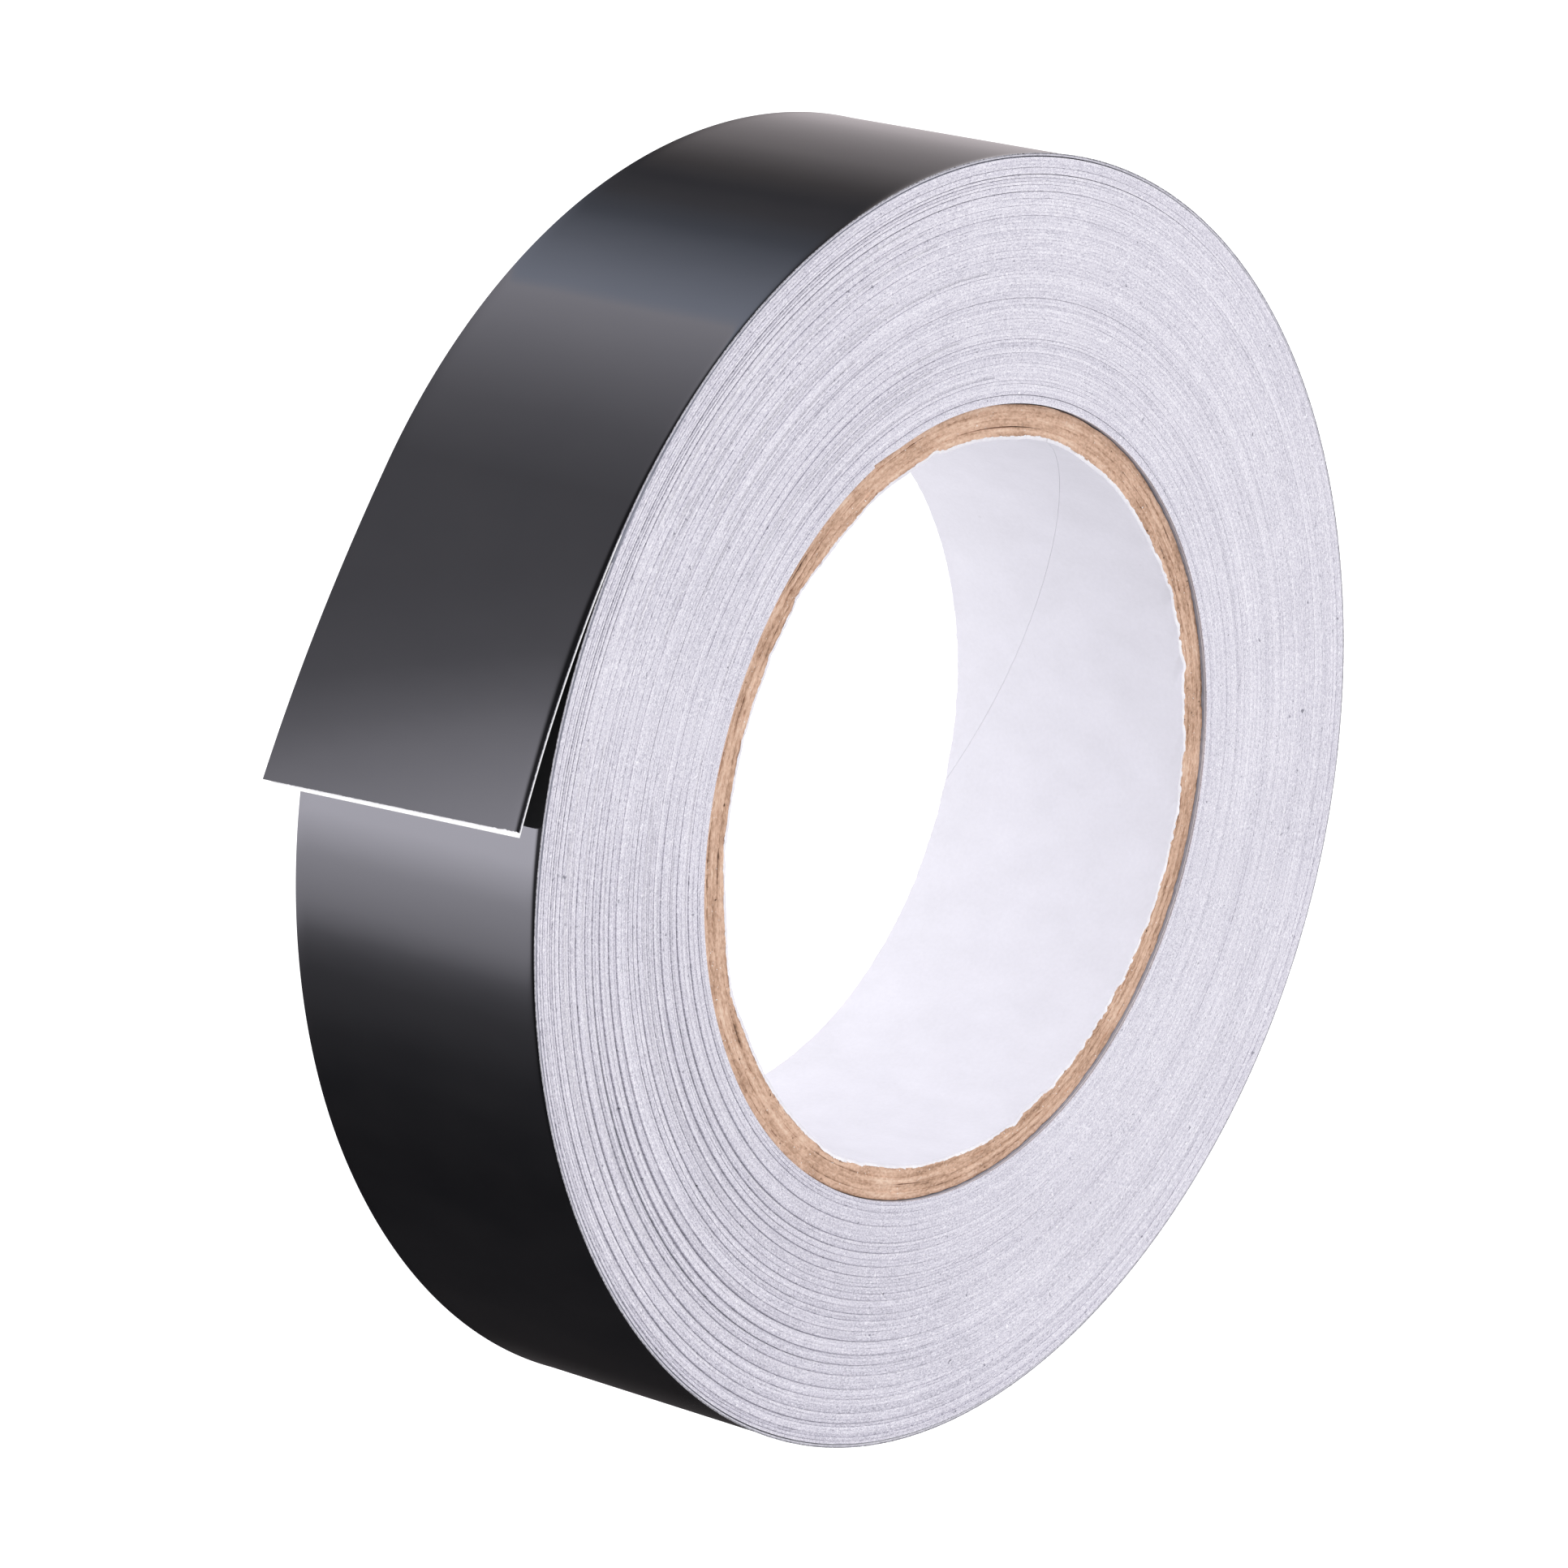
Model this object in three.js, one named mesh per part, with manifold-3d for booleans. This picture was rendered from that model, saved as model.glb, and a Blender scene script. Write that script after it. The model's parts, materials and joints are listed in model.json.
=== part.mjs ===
// A roll of foil tape with a paper release liner, lying on its back face.
// Millimetres, +Z up. The roll's axis is Z and its back face lies on the plane z = 0.
import * as THREE from "three";
import { mergeVertices } from "three/addons/utils/BufferGeometryUtils.js";
import Module from "manifold-3d";

// Core: a spirally wound paper tube with a thin white inner ply.
const coreBore = 75.2;
const whitePlyThickness = 0.3;
const kraftPlyThickness = 0.72;
const kraftPlyCount = 4;
const glueLine = 0.05;
const coreRecess = 0.4;
const seamWidth = 0.3;
const seamStart = 93;
const seamSweep = 88;
const seamStagger = 78;
const seamSteps = 18;

// Tape: foil on top, release liner underneath, wound foil side out.
const rollDiameter = 132.6;
const tapeWidth = 30.5;
const sideWander = 0.25;
const foilThickness = 0.1;
const linerThickness = 0.16;
const adhesiveGap = 0.02;
const turnGap = 0.06;
const coreToWinding = 0.1;

// Tail: the free end of the tape, a chain of short stiff links that turn on one another.
const liftAngle = 257;
const bendLinkLength = 4.2;
const bendLinkCount = 5;
const tipLinkLength = 7.2;
const flapLength = 5;
const restTurn = 1.75;
const linkGap = 0.2;
const linerOverhang = 0.6;

// Sides of every round, and the circumferential gap where the outer turn meets the winding.
const facets = 96;
const stepGap = 0.3;

const rollRadius = rollDiameter / 2;
const rollWidth = tapeWidth + 2 * sideWander;
const tapeBottom = sideWander;
const tapeThickness = foilThickness + adhesiveGap + linerThickness;
const turnPitch = tapeThickness + turnGap;
const facetAngle = 360 / facets;

const wasm = await Module();
wasm.setup();

const finishes = {
  blackFoil: { color: 0x2b2b2e, roughness: 0.28, metalness: 0.6 },
  whitePaper: { color: 0xf1f0ee, roughness: 0.85, metalness: 0 },
  kraftPaper: { color: 0xbe9873, roughness: 0.9, metalness: 0 },
  woundEdges: { color: 0xcbcbd6, roughness: 0.5, metalness: 0.35 },
};

const { degToRad, radToDeg } = THREE.MathUtils;

// A point at a radius and an angle in degrees, seen from above.
function polar(radius, degrees) {
  const angle = degToRad(degrees);
  return new THREE.Vector2(radius * Math.cos(angle), radius * Math.sin(angle));
}

// One turn of points, one on each facet corner, at a constant radius.
function circle(radius) {
  const corners = [];
  for (let k = 0; k < facets; k++) corners.push(polar(radius, liftAngle + k * facetAngle));
  return corners;
}

// The radius of the tape's outer face over the last turn, which ends at the lift-off line.
function spiralRadius(degrees) {
  return rollRadius + (turnPitch * (degrees - liftAngle)) / 360;
}

// Points along the last turn, set in by a depth below the tape's outer face.
function spiral(depth, fromDegrees) {
  const corners = [];
  if (fromDegrees > liftAngle - 360) corners.push(polar(spiralRadius(fromDegrees) - depth, fromDegrees));
  for (let k = 0; k <= facets; k++) {
    const degrees = liftAngle - 360 + k * facetAngle;
    if (degrees > fromDegrees || fromDegrees === liftAngle - 360) {
      corners.push(polar(spiralRadius(degrees) - depth, degrees));
    }
  }
  return corners;
}

// A flat outline, with an optional hole, raised from a height by a depth.
function raised(outline, bottom, height, hole) {
  const shape = new THREE.Shape(outline);
  if (hole) shape.holes.push(new THREE.Path(hole));
  const geometry = new THREE.ExtrudeGeometry(shape, { depth: height, bevelEnabled: false });
  return geometry.translate(0, 0, bottom);
}

// A closed geometry as a solid that can be cut, and a cut solid as a geometry.
function toSolid(geometry) {
  const bare = geometry.clone();
  bare.deleteAttribute("normal");
  bare.deleteAttribute("uv");
  const merged = mergeVertices(bare, 1e-4);
  return new wasm.Manifold(
    new wasm.Mesh({
      numProp: 3,
      vertProperties: merged.attributes.position.array,
      triVerts: new Uint32Array(merged.index.array),
    }),
  );
}

function toGeometry(solid) {
  const mesh = solid.getMesh();
  const geometry = new THREE.BufferGeometry();
  geometry.setAttribute("position", new THREE.BufferAttribute(mesh.vertProperties, 3));
  geometry.setIndex(new THREE.BufferAttribute(mesh.triVerts, 1));
  geometry.computeVertexNormals();
  return geometry;
}

const roll = new THREE.Group();

function addPiece(name, geometry, finish) {
  const piece = new THREE.Mesh(geometry, new THREE.MeshStandardMaterial(finishes[finish]));
  piece.name = name;
  roll.add(piece);
}

// A thin wall that climbs through a tube on a helix: what is left open where a ply's edges meet.
function seamCutter(innerRadius, outerRadius, height, startDegrees) {
  const reach = outerRadius - innerRadius + 2;
  const cutter = new THREE.BoxGeometry(reach, seamWidth, height + 2, 1, 1, seamSteps);
  cutter.translate((innerRadius + outerRadius) / 2, 0, height / 2);
  const corner = new THREE.Vector3();
  const axis = new THREE.Vector3(0, 0, 1);
  const places = cutter.attributes.position;
  for (let i = 0; i < places.count; i++) {
    corner.fromBufferAttribute(places, i);
    corner.applyAxisAngle(axis, degToRad(startDegrees + (seamSweep * corner.z) / height));
    places.setXYZ(i, corner.x, corner.y, corner.z);
  }
  return cutter;
}

// One ply of the core, open along its helical seam.
function corePly(innerRadius, outerRadius, startDegrees) {
  const height = rollWidth - 2 * coreRecess;
  const tube = raised(circle(outerRadius), 0, height, circle(innerRadius));
  const cutter = seamCutter(innerRadius, outerRadius, height, startDegrees);
  const ply = toGeometry(toSolid(tube).subtract(toSolid(cutter)));
  return ply.translate(0, 0, coreRecess);
}

function addCore() {
  let innerRadius = coreBore / 2;
  let outerRadius = innerRadius + whitePlyThickness;
  addPiece("core_white_inner_ply", corePly(innerRadius, outerRadius, seamStart), "whitePaper");
  for (let ply = 1; ply <= kraftPlyCount; ply++) {
    innerRadius = outerRadius + glueLine;
    outerRadius = innerRadius + kraftPlyThickness;
    const seamAngle = seamStart + seamStagger * ply;
    addPiece("core_kraft_ply_" + ply, corePly(innerRadius, outerRadius, seamAngle), "kraftPaper");
  }
  return outerRadius;
}

// The packed turns under the last one. Their outer face steps in at the lift-off line by one turn.
function addWinding(coreRadius) {
  const outline = spiral(tapeThickness + turnGap, liftAngle - 360);
  const hole = circle(coreRadius + coreToWinding);
  addPiece("packed_winding", raised(outline, 0, rollWidth, hole), "woundEdges");
}

// The last whole turn of one layer of the tape, between two depths below the tape's outer face.
function lastTurn(topDepth, bottomDepth) {
  const startDegrees = liftAngle - 360 + radToDeg(stepGap / rollRadius);
  const outside = spiral(topDepth, startDegrees);
  const inside = spiral(bottomDepth, startDegrees);
  return raised(outside.concat(inside.reverse()), tapeBottom, tapeWidth);
}

// Where a tail link starts, and the direction that it runs in.
function tailLinks() {
  const links = [];
  const start = polar(rollRadius - tapeThickness / 2, liftAngle);
  for (let i = 0; i <= bendLinkCount; i++) {
    const direction = liftAngle + 90 + restTurn * (i + 0.5);
    const length = i < bendLinkCount ? bendLinkLength : tipLinkLength;
    links.push({ start: start.clone(), direction, length });
    start.add(polar(length, direction));
  }
  return links;
}

// A flat layer of a link, from one distance along it to another, between two depths.
function linkLayer(link, from, to, topDepth, bottomDepth) {
  const along = polar(1, link.direction);
  const outward = polar(1, link.direction - 90);
  const middle = tapeThickness / 2;
  function corner(distance, depth) {
    return link.start.clone().addScaledVector(along, distance).addScaledVector(outward, middle - depth);
  }
  const outline = [
    corner(from, topDepth),
    corner(to, topDepth),
    corner(to, bottomDepth),
    corner(from, bottomDepth),
  ];
  return raised(outline, tapeBottom, tapeWidth);
}

const linerTop = foilThickness + adhesiveGap;
const half = linkGap / 2;

function addTail() {
  tailLinks().forEach((link, i) => {
    const number = i + 1;
    if (i < bendLinkCount) {
      const end = link.length - half;
      addPiece("tail_foil_" + number, linkLayer(link, half, end, 0, foilThickness), "blackFoil");
      addPiece("tail_liner_" + number, linkLayer(link, half, end, linerTop, tapeThickness), "whitePaper");
      return;
    }
    const flapStart = link.length - linerOverhang - flapLength;
    const stub = linkLayer(link, half, flapStart - half, 0, foilThickness);
    const flap = linkLayer(link, flapStart + half, flapStart + flapLength, 0, foilThickness);
    addPiece("tail_foil_" + number, stub, "blackFoil");
    addPiece("tail_foil_flap", flap, "blackFoil");
    addPiece("tail_liner_" + number, linkLayer(link, half, link.length, linerTop, tapeThickness), "whitePaper");
  });
}

addWinding(addCore());
addPiece("last_turn_foil", lastTurn(0, foilThickness), "blackFoil");
addPiece("last_turn_liner", lastTurn(linerTop, tapeThickness), "whitePaper");
addTail();

export default roll;
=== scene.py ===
import json
import math

import bpy
import numpy as np
from mathutils import Matrix, Vector


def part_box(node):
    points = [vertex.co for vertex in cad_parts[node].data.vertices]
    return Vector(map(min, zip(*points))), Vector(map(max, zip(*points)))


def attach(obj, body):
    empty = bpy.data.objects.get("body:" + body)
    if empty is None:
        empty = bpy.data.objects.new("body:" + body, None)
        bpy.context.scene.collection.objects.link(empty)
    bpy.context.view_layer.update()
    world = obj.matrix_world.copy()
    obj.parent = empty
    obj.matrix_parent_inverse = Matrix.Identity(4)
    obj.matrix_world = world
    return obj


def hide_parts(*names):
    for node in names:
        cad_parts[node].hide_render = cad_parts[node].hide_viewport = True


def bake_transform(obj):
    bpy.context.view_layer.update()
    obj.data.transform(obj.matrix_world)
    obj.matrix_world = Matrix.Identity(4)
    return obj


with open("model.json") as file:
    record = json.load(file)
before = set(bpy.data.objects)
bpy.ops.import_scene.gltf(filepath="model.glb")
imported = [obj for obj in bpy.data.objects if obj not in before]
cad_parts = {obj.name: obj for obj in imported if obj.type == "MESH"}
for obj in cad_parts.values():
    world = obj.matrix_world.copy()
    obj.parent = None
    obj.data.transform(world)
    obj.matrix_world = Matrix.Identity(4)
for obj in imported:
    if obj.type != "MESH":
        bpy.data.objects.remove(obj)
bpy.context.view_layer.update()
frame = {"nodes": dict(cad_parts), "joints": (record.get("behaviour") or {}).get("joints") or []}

MM = 0.001
TURN = 2 * math.pi

# Layers of the tape, outside first, and the air between turns.
FOIL = 0.10 * MM
ADHESIVE = 0.02 * MM
LINER = 0.16 * MM
TURN_GAP = 0.06 * MM
TAPE = FOIL + ADHESIVE + LINER
PITCH = TAPE + TURN_GAP

# Seams of the core's plies: where the first starts at the back, how far each climbs round, how far one
# ply's seam is turned from the next, and how wide they gape on the kraft plies and on the white one.
SEAM_START = math.radians(93)
SEAM_SWEEP = math.radians(88)
SEAM_STAGGER = math.radians(78)
SEAM_GAP = 0.06 * MM
HAIRLINE = 0.045 * MM

# Ends of the core: how much deeper than its frame node the front end lies, how rough both are, how far
# in from an end that reaches, and how far each ply reaches into the next.
CORE_DROP = 0.2 * MM
END_ROUGHNESS = 0.03 * MM
END_REACH = 0.9 * MM
PLY_OVERLAP = 0.018 * MM

# The winding: steps to a turn, where the strip starts on the core, and how many outer turns are looser.
TURN_STEPS = 480
START_ANGLE = math.radians(-137)
LOOSE_TURNS = 9

# The tail: how much further its back edge stands off, how much longer foil and liner are cut at the back,
# what the liner lacks all along and at its back corner, and the distance between two stations.
TWIST = 2.1 * MM
FOIL_SKEW = 1.17 * MM
LINER_SKEW = 1.07 * MM
LINER_SHORT = 0.14 * MM
LINER_CORNER = 0.4 * MM
STATION = 0.24 * MM


# ---- Shader building -------------------------------------------------------------------


class Value:
    """A shader socket that holds a number. Arithmetic on it adds Math nodes."""

    def __init__(self, finish, socket):
        self.finish = finish
        self.socket = socket

    def math(self, operation, *terms, clamp=False):
        settings = {"operation": operation, "use_clamp": clamp}
        return self.finish.node("Math", settings, dict(enumerate(terms)))

    def __add__(self, other):
        return self.math("ADD", self, other)

    def __radd__(self, other):
        return self.math("ADD", other, self)

    def __sub__(self, other):
        return self.math("SUBTRACT", self, other)

    def __rsub__(self, other):
        return self.math("SUBTRACT", other, self)

    def __mul__(self, other):
        return self.math("MULTIPLY", self, other)

    def __rmul__(self, other):
        return self.math("MULTIPLY", other, self)

    def __truediv__(self, other):
        return self.math("DIVIDE", self, other)

    def __pow__(self, power):
        return self.math("POWER", self, power)

    def clamped(self):
        return self.math("ADD", self, 0.0, clamp=True)

    def step(self, low, high):
        """0 below low, 1 above high, and smooth between them. High may be the lower one."""
        settings = {"interpolation_type": "SMOOTHSTEP"}
        sockets = {"Value": self, "From Min": low, "From Max": high}
        return self.finish.node("MapRange", settings, sockets)


class Finish:
    """A node tree, and the one way that nodes are put into it."""

    def __init__(self, tree):
        self.tree = tree
        tree.nodes.clear()

    def node(self, kind, settings=None, sockets=None, out=0):
        made = self.tree.nodes.new("ShaderNode" + kind)
        for name, setting in (settings or {}).items():
            if name == "stops":
                self.set_stops(made.color_ramp, setting)
            else:
                setattr(made, name, setting)
        for key, given in (sockets or {}).items():
            if isinstance(given, Value):
                self.tree.links.new(given.socket, made.inputs[key])
            else:
                made.inputs[key].default_value = given
        return Value(self, made.outputs[out])

    @staticmethod
    def set_stops(ramp, stops):
        while len(ramp.elements) < len(stops):
            ramp.elements.new(1.0)
        for element, (position, colour) in zip(ramp.elements, stops):
            element.position = position
            element.color = (*colour, 1.0)

    def ramp(self, value, stops):
        return self.node("ValToRGB", {"stops": stops}, {"Fac": value})

    def mixed(self, share, first, second):
        """A colour between two others."""
        return self.node("Mix", {"data_type": "RGBA"}, {0: share, 6: first, 7: second}, out=2)

    def place(self):
        """Where a point is in the part's frame, in metres, as three numbers."""
        spot = self.node("TexCoord", out="Object")
        return [self.node("SeparateXYZ", None, {0: spot}, out=axis) for axis in range(3)]

    def around(self, arc, radial, axial):
        """A coordinate that runs round the roll's axis, so that a noise on it streaks along the turns."""
        x, y, z = self.place()
        radius = (x * x + y * y) ** 0.5
        third = radius * radial + z * axial
        return self.node("CombineXYZ", None, {0: x / radius * arc, 1: y / radius * arc, 2: third})

    def spots(self, scale):
        spot = self.node("TexCoord", out="Object")
        return self.node("VectorMath", {"operation": "SCALE"}, {0: spot, "Scale": scale})

    def noise(self, vector, detail=2.0, roughness=0.5):
        sockets = {"Vector": vector, "Scale": 1.0, "Detail": detail, "Roughness": roughness}
        return self.node("TexNoise", None, sockets)

    def attribute(self, name):
        return self.node("Attribute", {"attribute_name": name}, out="Fac")

    def bump(self, height, distance, strength=1.0):
        sockets = {"Height": height, "Distance": distance, "Strength": strength}
        return self.node("Bump", None, sockets)

    def surface(self, **sockets):
        """Ends the tree with one Principled surface."""
        named = {name.replace("_", " "): given for name, given in sockets.items()}
        self.end(self.node("BsdfPrincipled", None, named), "OutputMaterial")

    def end(self, shader, kind):
        """Sends a shader to the output of its tree."""
        output = self.tree.nodes.new("ShaderNode" + kind)
        self.tree.links.new(shader.socket, output.inputs["Surface"])


def new_finish(name):
    material = bpy.data.materials.new(name)
    material.use_nodes = True
    return material, Finish(material.node_tree)


def black_film():
    """The foil's outer face: a glossy, nearly black coating with a very faint unevenness."""
    material, finish = new_finish("black_film")
    uneven = finish.noise(finish.around(9, 0, 90), detail=2)
    fine = finish.noise(finish.around(120, 0, 1800), detail=1)
    finish.surface(
        Base_Color=finish.ramp(uneven, [(0.3, (0.0042, 0.0042, 0.005)), (0.7, (0.0065, 0.0063, 0.007))]),
        Roughness=0.035 + 0.02 * uneven + 0.01 * fine,
        IOR=1.5,
        Normal=finish.bump(uneven, 0.02 * MM, 0.5),
    )
    return material


def cut_foil():
    """The foil's cut edges: bright where the knife went through, with dark coating dragged over."""
    material, finish = new_finish("cut_foil")
    drag = finish.noise(finish.around(260, 3000, 6000), detail=3)
    tints = [(0.3, (0.05, 0.05, 0.06)), (0.52, (0.3, 0.3, 0.33)), (0.7, (0.6, 0.6, 0.64))]
    finish.surface(
        Base_Color=finish.ramp(drag, tints),
        Metallic=0.3,
        Roughness=0.3 + 0.3 * drag,
    )
    return material


def adhesive_side():
    """The foil's underside: satin silver metal under a clear, slightly orange-peeled adhesive."""
    material, finish = new_finish("adhesive_side")
    peel = finish.noise(finish.spots(1500), detail=2)
    cloud = finish.noise(finish.spots(140), detail=3)
    finish.surface(
        Base_Color=finish.ramp(cloud, [(0.3, (0.5, 0.5, 0.53)), (0.7, (0.64, 0.64, 0.66))]),
        Metallic=0.85,
        Roughness=0.3 + 0.2 * peel,
        Coat_Weight=0.5,
        Coat_Roughness=0.2,
        Normal=finish.bump(peel, 0.03 * MM, 0.6),
    )
    return material


def release_paper():
    """The release liner: smooth white paper with faint fibre clouds."""
    material, finish = new_finish("release_paper")
    fibre = finish.noise(finish.spots(3200), detail=3)
    cloud = finish.noise(finish.spots(300), detail=2)
    tints = [(0.3, (0.88, 0.88, 0.88)), (0.7, (0.96, 0.96, 0.96))]
    finish.surface(
        Base_Color=finish.ramp(cloud * 0.5 + fibre * 0.5, tints),
        Roughness=0.38 + 0.15 * fibre,
        Normal=finish.bump(fibre, 0.02 * MM, 0.5),
    )
    return material


def slit_paper():
    """The slit edge of the outermost turn's liner: pale grey, with dust and small dark nicks."""
    material, finish = new_finish("slit_paper")
    dust = finish.noise(finish.around(160, 2500, 2500), detail=2)
    tints = [(0.3, (0.42, 0.41, 0.46)), (0.5, (0.55, 0.54, 0.6)), (0.72, (0.7, 0.69, 0.75))]
    finish.surface(
        Base_Color=finish.ramp(dust, tints),
        Roughness=0.6,
    )
    return material


def wound_edges():
    """The slit edges of foil and liner, packed turn on turn: silver with fine streaks along the turns,
    painted shade in the grooves between turns, and painted highlights and shade beside them.
    """
    material, finish = new_finish("wound_edges")
    streak = finish.noise(finish.around(150, 7000, 0), detail=2, roughness=0.7)
    sparkle = finish.noise(finish.around(400, 11500, 0), detail=1)
    brushed = finish.noise(finish.around(18, 4600, 0), detail=1)
    cloud = finish.noise(finish.spots(70), detail=3)
    nick = finish.noise(finish.around(110, 2100, 0), detail=0)
    flake = finish.noise(finish.around(150, 3000, 0), detail=0)
    groove = finish.attribute("groove")
    tone = finish.attribute("tone")
    grain = (streak - 0.5) * 0.95 + (sparkle - 0.5) * 0.8 + (brushed - 0.5) * 0.2 + (cloud - 0.5) * 0.12
    flecks = flake.step(0.77, 0.84) * 0.28 - nick.step(0.2, 0.12) * 0.35
    # Groove is painted shade in the gaps between turns. Tone is random tone plus painted highlight and shade
    # beside the grooves.
    light = (0.7 + grain + tone * 0.1 + flecks) * (1 - groove)
    tints = [
        (0.0, (0.02, 0.02, 0.03)),
        (0.3, (0.3, 0.295, 0.35)),
        (0.65, (0.655, 0.64, 0.715)),
        (1.0, (0.95, 0.94, 0.98)),
    ]
    finish.surface(
        Base_Color=finish.ramp(light, tints),
        Metallic=0.25,
        Roughness=0.42 + 0.15 * streak,
        Normal=finish.bump(streak + brushed * 0.5, 0.05 * MM, 0.6),
    )
    return material


def painted_shade_wall():
    """The winding's inner wall, seen just above the core: dark bluish grey, painted shade in the gap there.
    """
    material, finish = new_finish("painted_shade_wall")
    streak = finish.noise(finish.around(60, 0, 9000), detail=2)
    finish.surface(
        Base_Color=finish.ramp(streak, [(0.3, (0.3, 0.31, 0.37)), (0.7, (0.46, 0.47, 0.54))]),
        Roughness=0.35 + 0.2 * streak,
    )
    return material


def pale_wall():
    """A paler line along the winding's inner wall, where a turn of liner stands proud."""
    material, finish = new_finish("pale_wall")
    streak = finish.noise(finish.around(60, 0, 5000), detail=2)
    finish.surface(
        Base_Color=finish.ramp(streak, [(0.3, (0.75, 0.76, 0.79)), (0.7, (0.9, 0.9, 0.93))]),
        Roughness=0.45 + 0.2 * streak,
    )
    return material


def kraft_board():
    """Cut brown board: fibres along the ply, dark and white specks, and darker lines along the ply joints.
    """
    material, finish = new_finish("kraft_board")
    fibre = finish.noise(finish.around(75, 4200, 2200), detail=3, roughness=0.65)
    layer = finish.noise(finish.around(5, 1500, 0), detail=2)
    cloud = finish.noise(finish.spots(260), detail=2)
    dark = finish.noise(finish.around(70, 1900, 900), detail=1)
    white = finish.noise(finish.around(210, 5200, 2900), detail=0)
    groove = finish.attribute("groove")
    tone = 0.57 + (fibre - 0.5) * 0.95 + (layer - 0.5) * 0.9 + (cloud - 0.5) * 0.45
    tone = tone - dark.step(0.27, 0.19) * 0.55 - groove * 0.55
    browns = [
        (0.0, (0.13, 0.07, 0.04)),
        (0.3, (0.43, 0.26, 0.17)),
        (0.6, (0.7, 0.465, 0.335)),
        (0.9, (0.86, 0.65, 0.5)),
    ]
    finish.surface(
        Base_Color=finish.mixed(white.step(0.8, 0.85), finish.ramp(tone, browns), (0.94, 0.92, 0.9, 1.0)),
        Roughness=0.85,
        Normal=finish.bump(fibre + layer * 0.5, 0.12 * MM, 0.7),
    )
    return material


def white_paper():
    """The core's inner ply: matte white paper, faintly mottled, with a few pale marks."""
    material, finish = new_finish("white_paper")
    fibre = finish.noise(finish.spots(2400), detail=3)
    mottle = finish.noise(finish.around(9, 0, 160), detail=3)
    mark = finish.noise(finish.around(22, 0, 520), detail=1)
    tone = 0.5 + (fibre - 0.5) * 0.3 + (mottle - 0.5) * 0.5 - mark.step(0.22, 0.14) * 0.4
    tone = tone + finish.attribute("torn") * 0.42
    tints = [
        (0.1, (0.66, 0.65, 0.695)),
        (0.6, (0.76, 0.75, 0.805)),
        (0.8, (0.82, 0.81, 0.855)),
        (1.0, (0.97, 0.965, 0.98)),
    ]
    finish.surface(
        Base_Color=finish.ramp(tone, tints),
        Roughness=0.75,
        Normal=finish.bump(fibre, 0.03 * MM, 0.5),
    )
    return material


# ---- Mesh building ---------------------------------------------------------------------


def volume_of(points, quads):
    """Signed volume inside a closed skin of quads: negative if its faces look inwards."""
    total = 0.0
    for a, b, c in ((0, 1, 2), (0, 2, 3)):
        first, second, third = points[quads[:, a]], points[quads[:, b]], points[quads[:, c]]
        total += np.einsum("ij,ij->i", first, np.cross(second, third)).sum()
    return total / 6


def build_piece(name, points, quads, finishes, slots=None, marks=None, sharp=35):
    """A smooth-shaded mesh object. Slots gives each quad's finish, and marks gives named point values."""
    points = np.asarray(points, float).reshape(-1, 3)
    quads = np.asarray(quads, int).reshape(-1, 4)
    if volume_of(points, quads) < 0:
        quads = quads[:, ::-1]
    mesh = bpy.data.meshes.new(name)
    faces = [face if face[2] != face[3] else face[:3] for face in quads.tolist()]
    mesh.from_pydata(points.tolist(), [], faces)
    for finish in finishes:
        mesh.materials.append(finish)
    if slots is not None:
        mesh.polygons.foreach_set("material_index", np.asarray(slots, np.int32))
    mesh.polygons.foreach_set("use_smooth", np.ones(len(faces), bool))
    for mark, values in (marks or {}).items():
        layer = mesh.attributes.new(mark, "FLOAT", "POINT")
        layer.data.foreach_set("value", np.asarray(values, np.float32).ravel())
    mesh.update()
    mesh.set_sharp_from_angle(angle=math.radians(sharp))
    piece = bpy.data.objects.new(name, mesh)
    bpy.context.scene.collection.objects.link(piece)
    return piece


def eased(share):
    share = np.clip(share, 0, 1)
    return share * share * (3 - 2 * share)


def wandering(places, knots_per_unit, random):
    """A smooth random curve: a new random value at each knot, eased from one to the next."""
    scaled = np.asarray(places, float) * knots_per_unit
    scaled = scaled - scaled.min()
    knots = random.normal(size=int(scaled.max()) + 3)
    below = scaled.astype(int)
    share = eased(scaled - below)
    return knots[below] * (1 - share) + knots[below + 1] * share


def ring_noise(angles, waves, random):
    """A smooth random curve that closes on itself after one turn, with so many knots round it."""
    scaled = (np.asarray(angles, float) / TURN % 1) * waves
    knots = random.normal(size=waves)
    below = scaled.astype(int) % waves
    share = eased(scaled - np.floor(scaled))
    return knots[below] * (1 - share) + knots[(below + 1) % waves] * share


def bell(distance, half_width):
    """1 at the middle, easing to 0 at half_width away."""
    return eased(1 - np.abs(distance) / half_width)


def side(angle, degrees, half_width):
    """1 on the given side of the roll, easing to 0 at half_width degrees away."""
    away = (angle - math.radians(degrees) + math.pi) % TURN - math.pi
    return bell(away, math.radians(half_width))


def swell(angle):
    """How far the outermost turns bulge out of round."""
    return (0.62 * side(angle, 6, 48) + 0.28 * side(angle, 90, 34)) * MM


def radii_of(node):
    """Lowest and highest distance of a node's corners from the roll's axis."""
    corners = np.array([v.co for v in frame["nodes"][node].data.vertices])
    reach = np.hypot(corners[:, 0], corners[:, 1])
    return reach.min(), reach.max()


# ---- The core --------------------------------------------------------------------------


def torn_edge(angles):
    """How far the bore's front edge is torn outwards, by angle round the core."""
    random = np.random.default_rng(8)
    wave = 0.15 * ring_noise(angles, 34, random) + 0.1 * ring_noise(angles, 9, random)
    notch = ring_noise(angles, 110, random)
    deep = notch.clip(0.9, None) - 0.9
    return (wave + 0.05 * notch + 0.2 * deep).clip(-0.28, 0.42) * MM


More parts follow.
